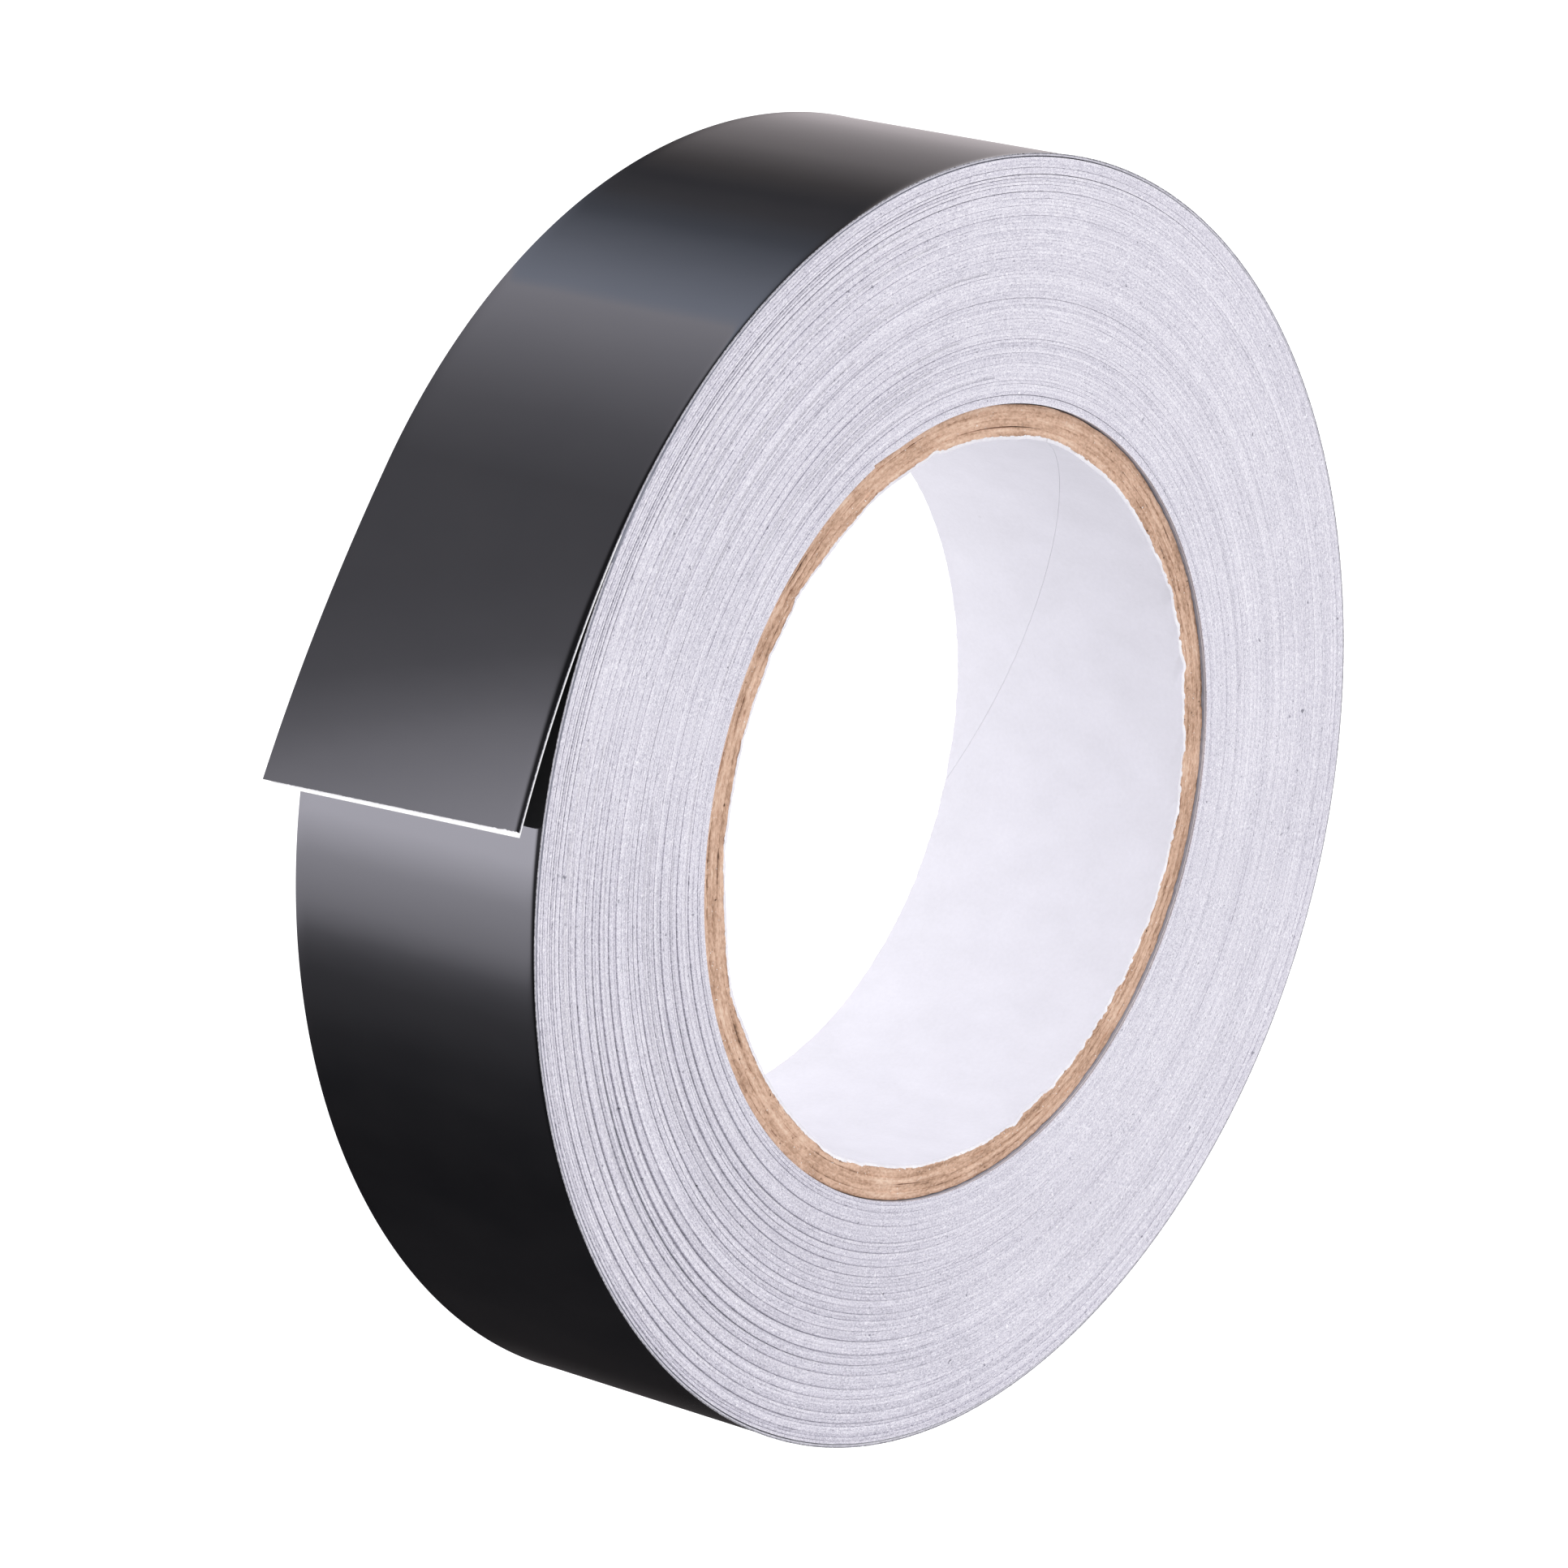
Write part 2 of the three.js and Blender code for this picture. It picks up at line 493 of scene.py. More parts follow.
def core_ply(name, finish, number, steps, seed):
    """One ply of the core: a thin tube open along a helical seam, with rough cut ends.

    Ply 0 is the white inner one. Its front edge is torn, and ply 1 follows it.
    """
    random = np.random.default_rng(seed)
    inner, outer = radii_of(name)
    white = number == 0
    inner, outer = inner - PLY_OVERLAP * (not white), outer + PLY_OVERLAP
    bottom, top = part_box(name)[0].z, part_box(name)[1].z
    height = top - bottom - CORE_DROP
    start = SEAM_START + SEAM_STAGGER * number
    gap = (HAIRLINE if white else SEAM_GAP) / inner
    share = np.linspace(0, 1, steps)
    turn = gap / 2 + share * (TURN - gap)

    fray, low_fray = [
        END_ROUGHNESS * (ring_noise(turn, 190, random) + 0.8 * ring_noise(turn, 700, random))
        for _ in range(2)
    ]
    worn = 0.11 * MM * sum(
        random.uniform(0.3, 1) * bell(turn - random.uniform(0, TURN), random.uniform(0.03, 0.2))
        for _ in range(9)
    )
    tear = torn_edge(start + SEAM_SWEEP + turn) if number < 2 else 0 * turn
    fringe = 0.05 * MM * np.abs(ring_noise(turn, 800, random))
    fringe = fringe + 0.03 * MM * np.abs(ring_noise(turn, 300, random))
    ridge = 0.035 * MM * (np.exp(-turn / 0.012) + 0.5 * np.exp(-(TURN - turn) / 0.03)) * white
    # Near both ends the kraft plies' outer walls are darker, by a random amount round the ply.
    end_darkening = 0.12 + 0.3 * np.abs(ring_noise(turn, 40, random))
    rise = 0.05 * MM * ring_noise(turn, 420, random)

    def ends(z):
        """How near a level is to the front end and to either end, and how far roughness shifts it."""
        near_top = float(bell(height - z, END_REACH))
        near_end = near_top + float(bell(z, END_REACH))
        shift = (fray if z > height / 2 else low_fray) * near_end
        return near_top, near_end, shift

    edge = np.array([0, 0.3, 0.6]) * MM
    levels = np.concatenate([edge, np.linspace(1.2 * MM, height - 1.2 * MM, 22), height - edge[::-1]])
    loop = []
    for z in levels:
        near_top, near_end, shift = ends(z)
        loop.append((inner - ridge + tear * near_top, z + shift, 0.0))
    middle = (inner + outer) / 2
    if white:
        loop.append((inner + tear, height + fray, 0.4))
        loop.append((middle + tear, height + fray + 0.5 * rise, 0.8))
        loop.append((outer + tear + fringe, height + fray + 0.05 * MM + rise, 1.0))
    else:
        loop.append((inner + tear + 0.25 * (outer - inner), height + fray + rise, 0.1))
        loop.append((middle + tear / 2, height + fray + rise * 0.4, 0.0))
        loop.append((outer - 0.2 * (outer - inner) - worn, height + fray - rise, 0.15))
    for z in levels[::-1]:
        near_top, near_end, shift = ends(z)
        wall = outer - worn * near_end * (not white) + tear * near_top * white
        loop.append((wall, z + shift, end_darkening * near_end * (not white)))
    loop.append((middle, low_fray + 0.02 * MM, 0.0))

    rows = []
    shades = []
    for radius, z, shade in loop:
        z = np.broadcast_to(z, turn.shape)
        climb = start + SEAM_SWEEP * np.clip(z / height, 0, 1)
        angle = climb + turn
        radius = np.broadcast_to(radius, turn.shape)
        rows.append(np.stack([radius * np.cos(angle), radius * np.sin(angle), bottom + z], 1))
        shades.append(np.broadcast_to(shade, turn.shape))
    points = np.stack(rows, 1)
    quads, caps = sweep_faces(steps, len(loop))
    piece = build_piece(
        name + "_ply", points, np.concatenate([quads, caps]), [finish],
        marks={"torn" if white else "groove": np.stack(shades, 1)}, sharp=50,
    )
    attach(piece, "roll")
    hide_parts(name)
    return piece


def sweep_faces(steps, around):
    """Quads of a closed loop of points carried along so many steps, and fans that close its ends."""
    here = np.arange(steps - 1)[:, None] * around
    k = np.arange(around)[None, :]
    after = (k + 1) % around
    quads = np.stack([here + k, here + after, here + around + after, here + around + k], 2)
    fans = [end_fan(around, 0, True), end_fan(around, steps - 1, False)]
    return quads.reshape(-1, 4), np.concatenate(fans)


def end_fan(around, step, first):
    """Quads that close a loop by pairing its points from both sides."""
    base = step * around
    pairs = []
    for k in range(around // 2):
        a, b = k, k + 1
        c, d = around - 2 - k, around - 1 - k
        if b >= c:
            if b == c:
                pairs.append((base + a, base + b, base + d, base + d))
            break
        pairs.append((base + a, base + b, base + c, base + d))
    faces = np.array(pairs, int)
    if not first:
        return faces[:, ::-1] if (faces[:, 2] != faces[:, 3]).all() else flipped(faces)
    return faces


def flipped(faces):
    """The same faces seen from the other side, with a triangle's repeated corner kept last."""
    turned = faces[:, ::-1].copy()
    for row, face in zip(turned, faces):
        if face[2] == face[3]:
            row[:] = (face[2], face[1], face[0], face[0])
    return turned


def add_core(kraft, white):
    inner = core_ply("core_white_inner_ply", white, number=0, steps=1440, seed=11)
    for number in range(1, 5):
        steps = 1080 if number == 1 else 720
        ply = core_ply(f"core_kraft_ply_{number}", kraft, number, steps, seed=20 + number)


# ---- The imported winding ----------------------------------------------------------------


class Winding:
    """The spiral of packed turns: where each turn's edges lie, on the front and on the back."""

    def __init__(self):
        self.random = np.random.default_rng(5)
        self.inner, self.outer = radii_of("packed_winding")
        self.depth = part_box("packed_winding")[1].z
        lift = self.lift_angle()
        whole = round((self.outer - self.inner) / PITCH)
        part = ((lift - START_ANGLE) / TURN) % 1
        self.turns = whole - 2 + part
        self.steps = round(self.turns * TURN_STEPS)
        self.turns = self.steps / TURN_STEPS
        self.pitch = (self.outer - self.inner) / (self.turns + 1)
        index = np.arange(self.steps + TURN_STEPS + 1)
        self.angle = lift + TURN * (index - self.steps) / TURN_STEPS
        turn = index / TURN_STEPS

        # The first turn hugs the core and climbs onto itself at its end, and the next ones even that out.
        part = turn % 1
        climb = 0.015
        saw = np.where(part < 1 - climb, part, (1 - part) * (1 - climb) / climb)
        self.radius = self.inner + self.pitch * (turn - saw * np.exp(-np.floor(turn) / 2.5))
        self.radius += swell(self.angle) * (turn / self.turns) ** 1.5

        # The end of the strip is pressed thin under the last turn.
        pressed = 26
        self.radius[-pressed:] -= 0.85 * self.pitch * np.linspace(0, 1, pressed)

    def near(self, degrees, half_width):
        return side(self.angle, degrees, half_width)

    @staticmethod
    def lift_angle():
        pivot = frame["joints"][0]["pos_m"]
        return math.atan2(pivot[1], pivot[0])

    def strengths(self):
        """How strongly each turn boundary stands open, and how far the turn outside it drops back."""
        random = self.random
        count = len(self.radius)
        turn = np.arange(count) / TURN_STEPS
        found = np.zeros(count)
        ridge = np.zeros(count)

        # The turns lie tightest on one side, so few boundaries stand open there.
        calm = 1 - 0.8 * self.near(-92, 50) - 0.5 * self.near(-168, 70)

        def arc(at_turn, centre, half_degrees, strength, drop=0.0):
            """Opens a boundary round a centre direction, and lets the turn outside it drop."""
            shift = ((centre - self.angle[0]) / TURN) % 1
            middle = math.floor(at_turn) + shift
            window = bell(turn - middle, half_degrees / 360) ** 0.7 * calm
            found[:] = np.maximum(found, strength * window)
            ridge[:] = np.maximum(ridge, drop * window)

        at = 0.5
        while at < self.turns:
            strength = random.uniform(0.4, 0.9)
            centre = math.radians(random.normal(-72, 12))
            arc(at, centre, random.uniform(105, 150), strength, drop=random.uniform(0.6, 1.1))
            at += random.uniform(2.8, 4.6)
        for _ in range(70):
            centre = math.radians(random.normal(-80, 60))
            arc(random.uniform(0, self.turns), centre, random.uniform(10, 55), random.uniform(0.15, 0.45))
        for _ in range(60):
            centre = random.uniform(0, TURN)
            arc(random.uniform(0, self.turns), centre, random.uniform(6, 35), random.uniform(0.1, 0.3))
        calm = 1
        arc(self.turns * 0.44, math.radians(-95), 120, 0.8)
        arc(2.3, math.radians(-165), 70, 0.6)
        at = self.turns - LOOSE_TURNS
        while at < self.turns + 0.5:
            arc(at, math.radians(random.normal(-125, 15)), random.uniform(70, 110), random.uniform(0.7, 1.2))
            at += random.uniform(0.8, 2.4)
        return found, ridge

    def face(self, front):
        """Corner points of one face: turn boundaries, and both shoulders of each turn."""
        random = self.random
        strength, ridge = self.strengths()
        inner = slice(self.steps + 1)
        outer = slice(TURN_STEPS, None)
        turn = np.arange(self.steps + 1) / TURN_STEPS
        outermost = eased((turn - (self.turns - LOOSE_TURNS)) / 6)
        wander = 0.012 * MM * wandering(turn, 5, random) * (1 + 2.2 * outermost)
        soft = self.near(-5, 62)
        half_gap = 0.008 * MM + (0.045 + 0.05 * soft) * MM * strength
        depth = 0.015 * MM + (0.25 - 0.1 * soft) * MM * strength
        sign = 1 if front else -1
        level = self.depth - 0.05 * MM if front else 0.05 * MM

        # A turn that drops back comes up again over the next few turns.
        recovery = 0.66
        dropped = np.zeros(len(ridge))
        for later in range(6):
            dropped[later * TURN_STEPS :] += ridge[: len(ridge) - later * TURN_STEPS] * recovery**later
        dropped = np.minimum(dropped[inner], 1.6)
        fall = 0.19 * MM * dropped
        crest_in = level + sign * (wander - fall)
        crest_out = level + sign * (wander - fall * recovery)
        inside = np.concatenate([crest_out[:1].repeat(TURN_STEPS), crest_out])
        outside = np.concatenate([crest_in, crest_in[-1:].repeat(TURN_STEPS)])
        lower = np.minimum(inside, outside) if front else np.maximum(inside, outside)

        def spot(radius, angle, height):
            return np.stack([radius * np.cos(angle), radius * np.sin(angle), height], 1)

        angle = self.angle
        boundary = spot(self.radius, angle, lower - sign * depth)
        shoulder_in = spot(self.radius[inner] + half_gap[inner], angle[inner], crest_in)
        shoulder_out = spot(self.radius[outer] - half_gap[outer], angle[inner], crest_out)

        # Groove is painted shade at each turn boundary, darkest where the turns stand open.
        groove = 0.05 + (0.85 - 0.4 * soft) * strength.clip(0, 1)
        soft = soft[inner]
        # Tone is a random wander plus painted light: darker on the lower side as painted shade of its
        # ridges, a painted highlight just outside each open boundary and on turns that rise again after a
        # drop, and painted shade just inside the next boundary.
        tone = 0.4 * wandering(turn, 3.3, random) - 1.0 * soft + 0.25
        painted_glint = strength[inner] * (0.6 + 0.5 * soft) + dropped * (0.3 + 1.5 * soft)
        shade = strength[outer] * (1.0 + 0.8 * soft) + 0.15
        no_groove = np.zeros(len(turn))
        return {
            "points": (boundary, shoulder_in, shoulder_out),
            "groove": (groove, no_groove, no_groove),
            "tone": (np.zeros(len(strength)), tone + painted_glint, tone - shade),
        }

    def bundle(self, name, front, back, first, last, finishes):
        """A closed solid of whole turns, from one step along the tape to another."""
        points, groove, tone, offsets = [], [], [], []
        count = 0
        whole, one_less = slice(first, last + TURN_STEPS + 1), slice(first, last + 1)
        for face in (front, back):
            for k, span in enumerate((whole, one_less, one_less)):
                points.append(face["points"][k][span])
                groove.append(face["groove"][k][span])
                tone.append(face["tone"][k][span])
                offsets.append(count)
                count += len(points[-1])
        top, near_f, far_f, bottom, near_b, far_b = offsets

        def band(near, far):
            """Quads between two rows of points."""
            return np.stack([near[:-1], near[1:], far[1:], far[:-1]], 1)

        along = np.arange(last - first + 1)
        quads = []
        for edge, near, far, reverse in ((top, near_f, far_f, True), (bottom, near_b, far_b, False)):
            bands = [
                band(edge + along, near + along),
                band(near + along, far + along),
                band(far + along, edge + TURN_STEPS + along),
            ]
            quads += [faces[:, ::-1] if reverse else faces for faces in bands]
        slots = [np.zeros(sum(len(faces) for faces in quads), int)]

        # The inner wall is painted dark as shade, with a paler line just under the front face.
        ring = np.arange(TURN_STEPS + 1)
        wall_rows = [top]
        for drop in (0.13 * MM, 0.2 * MM, 1.5 * MM):
            row = points[0][ring].copy()
            row[:, 2] = self.depth - 0.09 * MM - drop
            points.append(row)
            groove.append(np.zeros(len(row)))
            tone.append(np.zeros(len(row)))
            wall_rows.append(count)
            count += len(row)
        wall_rows.append(bottom)
        dark, pale = 1, 2
        for upper, lower, slot in zip(wall_rows, wall_rows[1:], (dark, pale, dark, dark)):
            quads.append(band(upper + ring, lower + ring))
            slots.append(np.full(TURN_STEPS, slot))

        # The outer wall, then the step where the strip starts, then the one where it ends.
        outer = last - first
        a, b = top + outer + ring, bottom + outer + ring
        quads.append(np.stack([a[:-1], b[:-1], b[1:], a[1:]], 1))
        slots.append(np.ones(TURN_STEPS, int))
        row_ends = [row + TURN_STEPS for row in wall_rows]
        caps = [(wall_rows[0], near_f, far_f, row_ends[0])]
        caps += [
            (row, row_end, next_end, next_row)
            for row, row_end, next_end, next_row in zip(wall_rows, row_ends, row_ends[1:], wall_rows[1:])
        ]
        caps += [(wall_rows[-1], row_ends[-1], far_b, near_b)]
        edge_f, edge_b = top + outer, bottom + outer
        caps += [
            (edge_f + TURN_STEPS, far_f + outer, near_f + outer, edge_f),
            (edge_f, edge_b, edge_b + TURN_STEPS, edge_f + TURN_STEPS),
            (edge_b, near_b + outer, far_b + outer, edge_b + TURN_STEPS),
        ]
        quads.append(np.array(caps))
        slots.append(np.ones(len(caps), int))
        piece = build_piece(
            name, np.concatenate(points), np.concatenate(quads), finishes,
            slots=np.concatenate(slots),
            marks={"groove": np.concatenate(groove), "tone": np.concatenate(tone)},
            sharp=60,
        )
        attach(piece, "roll")
        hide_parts("packed_winding")
        return piece


def add_winding(edges, painted_shade_finish, pale):
    winding = Winding()
    front = winding.face(True)
    back = winding.face(False)
    third = winding.steps // 3
    stations = [0, third, 2 * third, winding.steps]
    names = ("winding_inner_turns", "winding_middle_turns", "winding_outer_turns")
    for name, first, last in zip(names, stations, stations[1:]):
        winding.bundle(name, front, back, first, last, [edges, painted_shade_finish, pale])


# ---- The last turn and the lifted tail -------------------------------------------------


class Tape:
    """The tape's outer face over its last turn and along its lifted tail.

    Distances run along the tape from the line where it lifts off: negative on the roll.
    """

    def __init__(self):
        joints = frame["joints"]
        pivots = [Vector(joint["pos_m"][:2]) for joint in joints[:6]]
        self.roll_radius = radii_of("last_turn_foil")[1]
        self.lift = math.atan2(pivots[0].y, pivots[0].x)
        self.link = (pivots[1] - pivots[0]).length
        headings = [math.atan2(b.y - a.y, b.x - a.x) for a, b in zip(pivots, pivots[1:])]
        self.bend = (headings[-1] - headings[0]) / (self.link * (len(headings) - 1))
        hinge = Vector(joints[6]["pos_m"][:2])
        self.hinge = self.link * 5 + (hinge - pivots[5]).length
        tip = max(
            (Vector(v.co[:2]) - pivots[5]).length
            for v in frame["nodes"]["tail_liner_6"].data.vertices
        )
        self.liner_end = self.link * 5 + tip
        flap = max((Vector(v.co[:2]) - hinge).length for v in frame["nodes"]["tail_foil_flap"].data.vertices)
        self.foil_end = self.hinge + flap
        low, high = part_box("last_turn_foil")
        self.bottom, self.top = low.z - 0.1 * MM, high.z + 0.1 * MM
        self.trace_tail()

    def trace_tail(self):
        """Follows the tail's centre line, easing from the roll's curve to the tail's flatter one."""
        ease = 3 * MM
        self.grid = np.arange(-6 * MM, self.liner_end + 1 * MM, 0.05 * MM)
        on_roll = 1 / self.roll_radius
        curve = on_roll + (self.bend - on_roll) * eased((self.grid + ease) / (2 * ease))
        step = self.grid[1] - self.grid[0]
        start = self.lift + self.grid[0] / self.roll_radius
        radius = self.spiral(start)

        def summed(slope):
            return np.concatenate([[0], np.cumsum(slope * step)])

        self.heading = start + math.pi / 2 + summed((curve[1:] + curve[:-1]) / 2)
        midway = (self.heading[1:] + self.heading[:-1]) / 2
        self.tail_x = radius * math.cos(start) + summed(np.cos(midway))
        self.tail_y = radius * math.sin(start) + summed(np.sin(midway))

    def spiral(self, angle):
        return self.roll_radius + PITCH * (angle - self.lift) / TURN + swell(angle)

    def line(self, along):
        """Point and outward direction of the outer face at distances along the tape."""
        along = np.asarray(along, float)
        angle = self.lift + along / self.roll_radius
        radius = self.spiral(angle)
        roll_x, roll_y = radius * np.cos(angle), radius * np.sin(angle)
        x = np.interp(along, self.grid, self.tail_x)
        y = np.interp(along, self.grid, self.tail_y)
        outward = np.interp(along, self.grid, self.heading) - math.pi / 2
        on_tail = along > self.grid[0]
        outward = np.where(on_tail, outward, angle)
        return np.where(on_tail, x, roll_x), np.where(on_tail, y, roll_y), outward

    def lifted(self, along, height):
        """How much further the back edge stands off than the front edge, because the tail twists."""
        share = (self.top - height) / (self.top - self.bottom)
        return TWIST * ((along + 3 * MM).clip(0) / (self.liner_end + 3 * MM)) ** 1.35 * share

    def flare(self, along, height):
        """Both slit edges lean outwards a little, and more on the free tail."""
        free = eased((along + 2 * MM) / (16 * MM))
        under = side(self.lift + along / self.roll_radius, -90, 26) * (1 - free)
        reach = (1.0 + 1.1 * free + 0.4 * under) * MM
        front = (1 - (self.top - height) / reach).clip(0) ** 3
        back = (1 - (height - self.bottom) / (1.2 * MM)).clip(0) ** 2
        return (0.06 + 0.1 * free + 0.07 * under) * MM * front + 0.03 * MM * back

    def surface(self, along, height, depth):
        """Points of a layer at a depth under the outer face. Along and height are grids."""
        x, y, outward = self.line(along)
        out = self.lifted(along, height) + self.flare(along, height) - depth
        ripple = np.sin(along / (5.1 * MM)) * np.sin(height / (9 * MM) + along / (31 * MM))
        out = out + 0.004 * MM * ripple
        return np.stack([x + out * np.cos(outward), y + out * np.sin(outward), height], -1)


def across_levels(count):
    """Shares across the tape's width, close together near both slit edges."""
    edge = np.array([0, 0.0015, 0.004, 0.008, 0.013, 0.02, 0.03, 0.045, 0.065, 0.1])
    middle = np.linspace(0.1, 0.9, count)[1:-1]
    return np.concatenate([edge, middle, 1 - edge[::-1]])


def strip(tape, name, stations, shares, top_depth, thickness, finishes, end=None):
    """A layer of tape from one distance along it to another: a closed solid as thick as the layer.

    End gives how far the layer's last station moves at each height, where it was cut unevenly.
    """
    heights = tape.bottom + shares * (tape.top - tape.bottom)
    along, height = np.meshgrid(stations, heights, indexing="ij")
    if end is not None:
        reach = eased((along - stations[0]) / (stations[-1] - stations[0])) ** 2
        along = along + reach * end(heights)[None, :]
    outside = tape.surface(along, height, top_depth)
    inside = tape.surface(along, height, top_depth + thickness)
    rows, columns = along.shape
    points = np.concatenate([outside.reshape(-1, 3), inside.reshape(-1, 3)])
    under = rows * columns

    def skin(base):
        i, k = np.meshgrid(np.arange(rows - 1), np.arange(columns - 1), indexing="ij")
        corner = base + i * columns + k
        return np.stack([corner, corner + columns, corner + columns + 1, corner + 1], -1).reshape(-1, 4)

    i = np.arange(rows - 1) * columns
    k = np.arange(columns - 1)
    last = (rows - 1) * columns
    front = i + columns - 1
    quads = [
        skin(0),
        skin(under)[:, ::-1],
        np.stack([i, under + i, under + i + columns, i + columns], 1),
        np.stack([front, front + columns, under + front + columns, under + front], 1),
        np.stack([k, k + 1, under + k + 1, under + k], 1),
        np.stack([last + k, under + last + k, under + last + k + 1, last + k + 1], 1),
    ]
    kinds = [min(kind, len(finishes) - 1) for kind in (0, 2, 1, 1, 1, 1)]
    slots = np.concatenate([np.full(len(part), kind) for part, kind in zip(quads, kinds)])
    return build_piece(name, points, np.concatenate(quads), finishes, slots=slots, sharp=40)


def add_last_turn(tape, foil_finishes, paper):
    """The last whole turn of foil and of liner, up to just short of the lift-off line."""
    stop = -tape.link / 2
    begin = -TURN * tape.roll_radius + 0.6 * MM
    coarse = np.linspace(begin, stop - 2 * MM, 900)
    stations = np.concatenate([coarse, np.linspace(stop - 2 * MM, stop, 12)[1:]])
    shares = across_levels(12)
    foil = strip(tape, "outer_turn_foil", stations, shares, 0, FOIL, foil_finishes)
    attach(foil, "roll")
    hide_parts("last_turn_foil")
    papers = [paper, slit_paper(), paper]
    liner = strip(tape, "outer_turn_liner", stations, shares, FOIL + ADHESIVE, LINER, papers)
    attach(liner, "roll")
    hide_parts("last_turn_liner")


def spot_on(tape, along):
    """The point at mid-thickness and mid-width of the tape."""
    x, y, outward = (float(v) for v in tape.line(along))
    middle = (tape.bottom + tape.top) / 2
    return (x - TAPE / 2 * math.cos(outward), y - TAPE / 2 * math.sin(outward), middle)


def add_tail(tape, foil_finishes, paper):
    """The lifted end: a length of foil and of liner round each link of the tail, built along its curve."""
    half = tape.link / 2
    fold = 0.6 * MM
    fold_start = tape.hinge - fold
    tip_bend = 1 * MM
    shares = across_levels(24)
    for k in range(6):
        number = k + 1
        pivot = k * tape.link
        reach = half if number < 6 else tip_bend
        foil_stop = pivot + half if number < 6 else fold_start
        liner_stop = pivot + half if number < 6 else tape.liner_end
        start, end = spot_on(tape, pivot - reach), spot_on(tape, pivot + reach)
        stations = fine_stations(pivot - half, foil_stop)
        foil = strip(tape, f"tail_foil_length_{number}", stations, shares, 0, FOIL, foil_finishes)
        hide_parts(f"tail_foil_{number}")
        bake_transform(foil)
        stations = fine_stations(pivot - half, liner_stop)
        liner = strip(
            tape, f"tail_liner_length_{number}", stations, shares, FOIL + ADHESIVE, LINER, [paper],
            end=skewed_end(tape) if number == 6 else None,
        )
        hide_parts(f"tail_liner_{number}")
        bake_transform(liner)

    tip_shares = np.unique(np.concatenate([across_levels(24), np.linspace(0, 1, 260)]))
    stations = fine_stations(fold_start, tape.foil_end)
    flap = strip(
        tape, "tail_foil_tip", stations, tip_shares, 0, FOIL, foil_finishes, end=chipped_end(tape)
    )
    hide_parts("tail_foil_flap")
    start, end = spot_on(tape, fold_start), spot_on(tape, tape.hinge + fold)
    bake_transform(flap)


def fine_stations(first, last):
    return np.linspace(first, last, max(3, round((last - first) / STATION) + 1))


def skewed_end(tape):
    """The tape was cut a little out of square: its back edge is longer, all but the liner's corner."""

    def cut(heights):
        share = (tape.top - heights) / (tape.top - tape.bottom)
        return LINER_SKEW * share - LINER_SHORT - LINER_CORNER * eased((share - 0.9) / 0.1)

    return cut


def chipped_end(tape):
    """How unevenly the foil was cut: finely ragged, and chipped at the front corner."""

    def cut(heights):
        random = np.random.default_rng(71)
        share = (tape.top - heights) / (tape.top - tape.bottom)
        ragged = np.abs(wandering(heights / MM, 5, random))
        fine = wandering(heights / MM, 7, random)
        corner = eased((0.13 - share) / 0.08) * eased(share / 0.02)
        return FOIL_SKEW * share - ((0.01 + 0.07 * corner) * ragged + 0.008 * fine) * MM

    return cut


# ---- Studio ----------------------------------------------------------------------------


def add_camera():
    """Above the near side of the roll, looking down at its front face, rolled onto its side."""
    place = Vector((0.0, -0.5838, 0.4513))
    aim = Vector((0.0022, -0.0305, 0.031))
    roll = math.radians(-103.863)
    data = bpy.data.cameras.new("camera")
    data.sensor_width = 36
    data.lens = 163.4
    data.clip_start = 0.01
    camera = bpy.data.objects.new("camera", data)
    forward = (aim - place).normalized()
    level_right = forward.cross(Vector((0, 0, 1))).normalized()
    level_up = level_right.cross(forward)
    up = level_up * math.cos(roll) + level_right * math.sin(roll)
    right = forward.cross(up)
    turned = Matrix((right, up, -forward)).transposed().to_4x4()
    camera.matrix_world = Matrix.Translation(place) @ turned
    bpy.context.scene.collection.objects.link(camera)
    bpy.context.scene.camera = camera


# The studio's panels round the roll as gloss sees them: compass angle in degrees, brightness, tint.
# The brightnesses are fitted to what the rim and the tail mirror in the photo.
ROSE = (1.05, 0.96, 0.99)
BLUE = (0.9, 0.97, 1.2)
LILAC = (0.985, 0.965, 1.09)
PANELS = [
    (-180, 1.1, BLUE), (-168, 2.15, BLUE), (-166, 2.5, LILAC), (-160, 2.3, LILAC), (-141, 1.27, LILAC),
    (-128, 0.9, LILAC), (-116, 0.98, LILAC), (-108.5, 1.3, LILAC), (-104.5, 2.0, LILAC), (-101, 2.9, LILAC),
    (-95, 4.1, LILAC), (-70, 8.0, LILAC), (-62, 7.6, LILAC), (-54, 4.3, LILAC), (-45, 2.75, LILAC),
    (-42.5, 2.1, LILAC), (-39, 1.1, LILAC), (-36, 0.7, LILAC), (-32, 0.44, LILAC), (-20, 0.18, LILAC),
    (-10, 0.09, LILAC), (3, 0.04, LILAC), (60, 0.025, ROSE), (82, 0.06, ROSE), (90, 0.5, ROSE),
    (113, 0.7, ROSE), (138, 0.51, ROSE), (150, 0.24, ROSE), (157, 0.17, LILAC), (164, 0.27, LILAC),
    (171, 0.47, BLUE), (180, 1.1, BLUE),
]
BRIGHTEST = 8.5


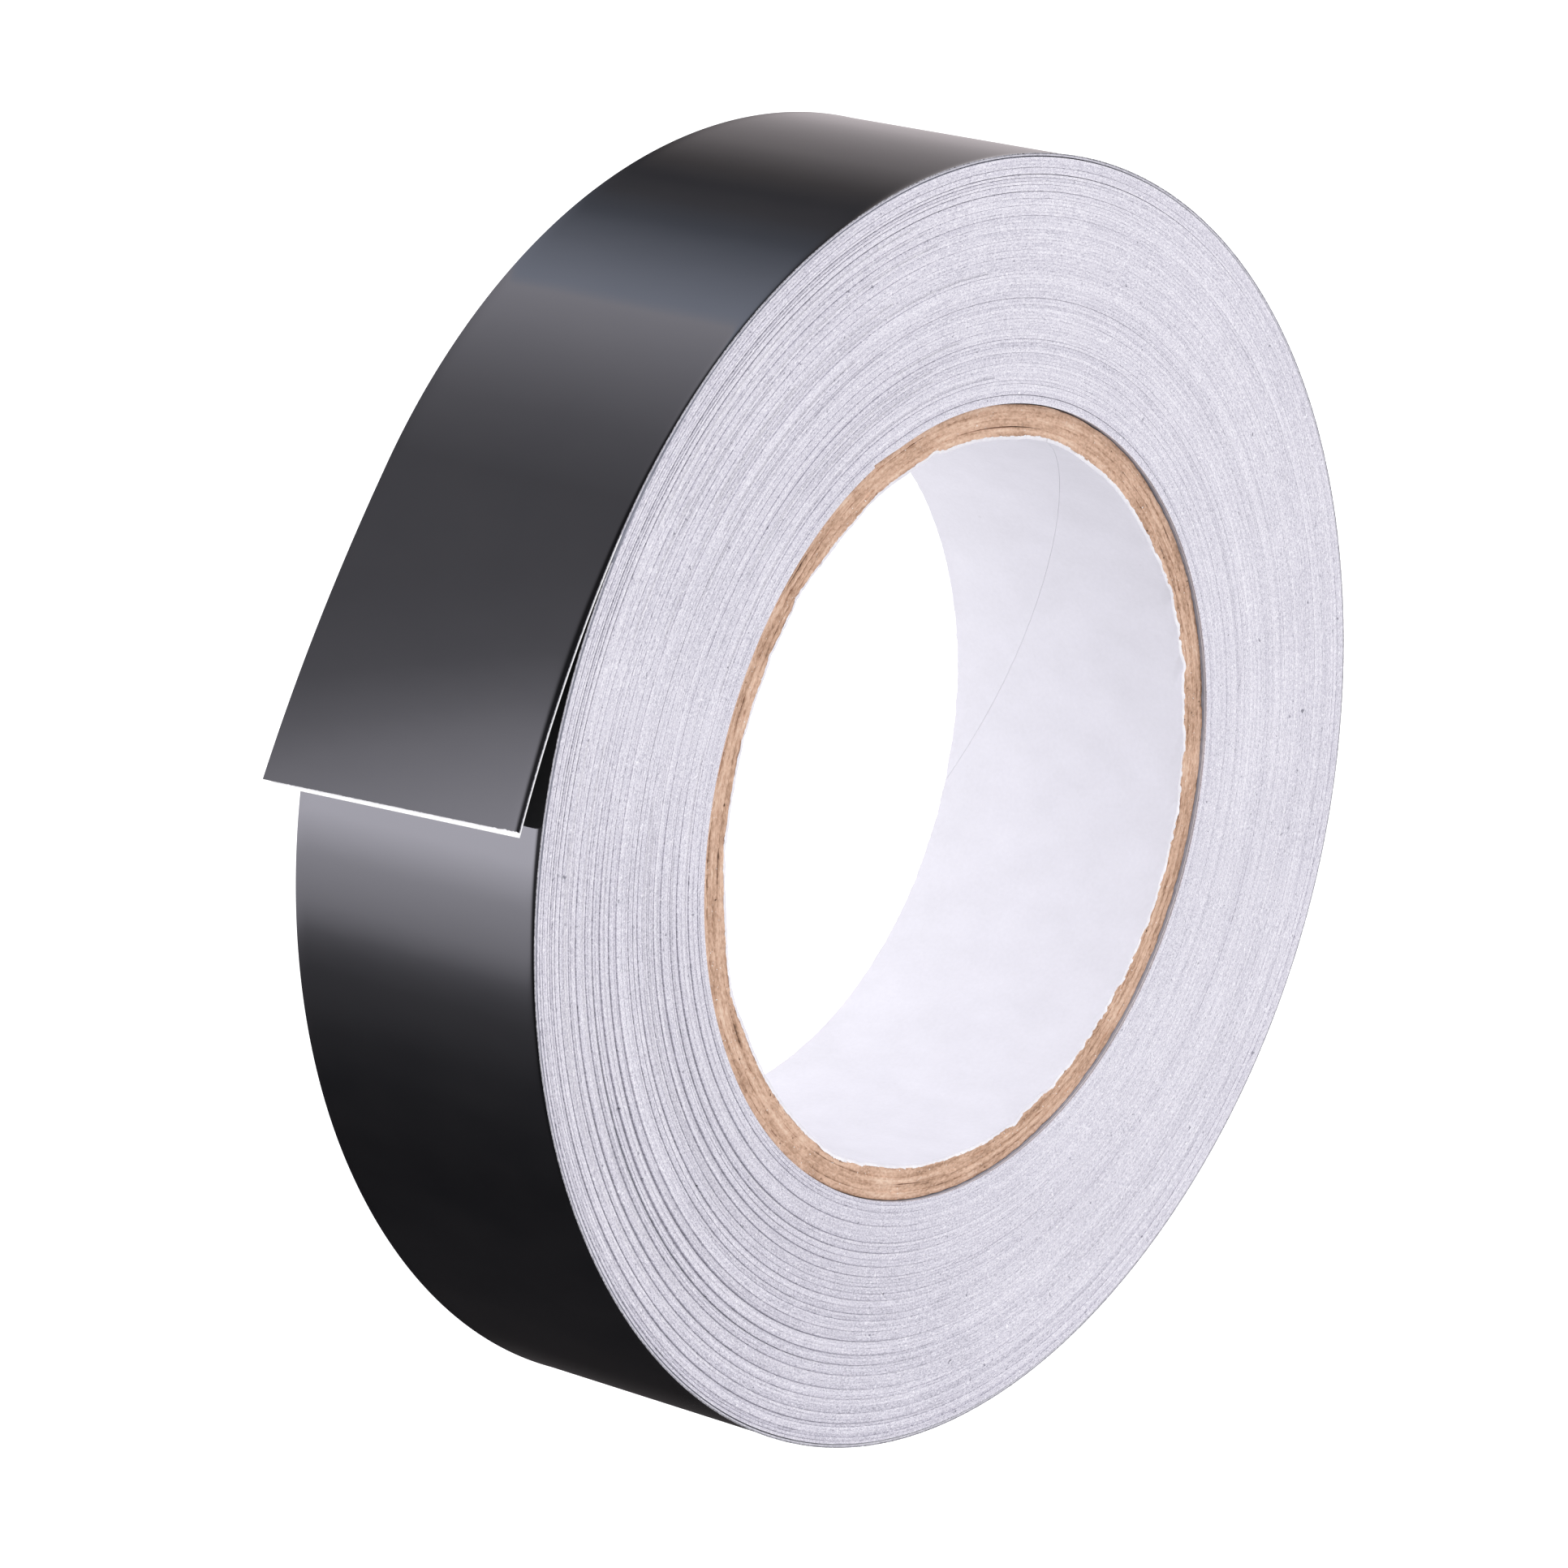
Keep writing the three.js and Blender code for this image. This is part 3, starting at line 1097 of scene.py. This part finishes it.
def add_world():
    """Plain white to look at, an even soft dome to light by, and soft panels for gloss to mirror."""
    world = bpy.data.worlds.new("studio")
    bpy.context.scene.world = world
    world.use_nodes = True
    world.cycles.sampling_method = "NONE"
    studio = Finish(world.node_tree)
    way = studio.node("TexCoord", out="Generated")
    x, y, z = [studio.node("SeparateXYZ", None, {0: way}, out=axis) for axis in range(3)]
    compass = x.math("ARCTAN2", y, x) / TURN + 0.5
    height = z.math("ARCSINE", z) * (180 / math.pi)
    stops = [
        ((angle + 180) / 360, [level * part / BRIGHTEST for part in tint])
        for angle, level, tint in PANELS
    ]

    # The panels fade out below -42 and above 8 degrees of height, and are weaker above about -25 degrees.
    strong = studio.ramp(compass, stops)
    weak = studio.node("VectorMath", {"operation": "MINIMUM"}, {0: strong, 1: (0.22, 0.22, 0.225)})
    raised = height.step(-29, -21)
    panels = studio.mixed(raised, strong, weak)
    gloss_level = height.step(-51, -41.5) * height.step(24, 8) * 0.94 + 0.06
    tinted = studio.node("VectorMath", {"operation": "SCALE"}, {0: panels, "Scale": gloss_level * BRIGHTEST})

    # Overhead, gloss sees a broad soft light that is brighter on the far side.
    behind = (compass - 0.75).math("ABSOLUTE", compass - 0.75).step(0.2, 0.04)
    upper = height.step(8, 30) * (0.35 + 1.1 * behind)
    overhead = studio.node("CombineColor", None, {0: upper * 0.97, 1: upper * 0.96, 2: upper})
    mirrored = studio.node("VectorMath", {"operation": "ADD"}, {0: tinted, 1: overhead})

    # Matte surfaces are lit by a nearly even dome and one wide soft light from above the -X side.
    key = (y * -0.35 - x * 0.7 + z * 0.62).clamped()
    soft_level = 0.625 + 0.26 * z.clamped() + 0.3 * (z * -1).clamped() + 0.92 * key * key * key
    soft = studio.node("CombineColor", None, {0: soft_level, 1: soft_level * 0.99, 2: soft_level * 1.01})
    glossy = studio.node("LightPath", out="Is Glossy Ray")
    seen = studio.node("LightPath", out="Is Camera Ray")
    shown = studio.mixed(seen, studio.mixed(glossy, soft, mirrored), (1.0, 1.0, 1.0, 1.0))
    studio.end(studio.node("Background", None, {"Color": shown, "Strength": 1.0}), "OutputWorld")


def add_floor():
    """A plain pale floor under the roll, so bright that it shows almost no shadow."""
    material, finish = new_finish("pale_floor")
    finish.surface(
        Base_Color=(0.16, 0.16, 0.16, 1.0),
        Roughness=1.0,
        Specular_IOR_Level=0.0,
        Emission_Color=(1.0, 1.0, 1.0, 1.0),
        Emission_Strength=1.26,
    )
    half = 3.0
    level = -0.1 * MM
    corners = [(-half, -half, level), (half, -half, level), (half, half, level), (-half, half, level)]
    mesh = bpy.data.meshes.new("floor")
    mesh.from_pydata(corners, [], [(0, 1, 2, 3)])
    mesh.materials.append(material)
    floor = bpy.data.objects.new("floor", mesh)
    floor.visible_glossy = False
    bpy.context.scene.collection.objects.link(floor)


bpy.context.scene.view_settings.view_transform = "Standard"
add_camera()
add_world()
add_floor()

film = black_film()
foil_finishes = [film, cut_foil(), adhesive_side()]
paper = release_paper()
add_core(kraft_board(), white_paper())
add_winding(wound_edges(), painted_shade_wall(), pale_wall())
tape = Tape()
add_last_turn(tape, foil_finishes, paper)
add_tail(tape, foil_finishes, paper)
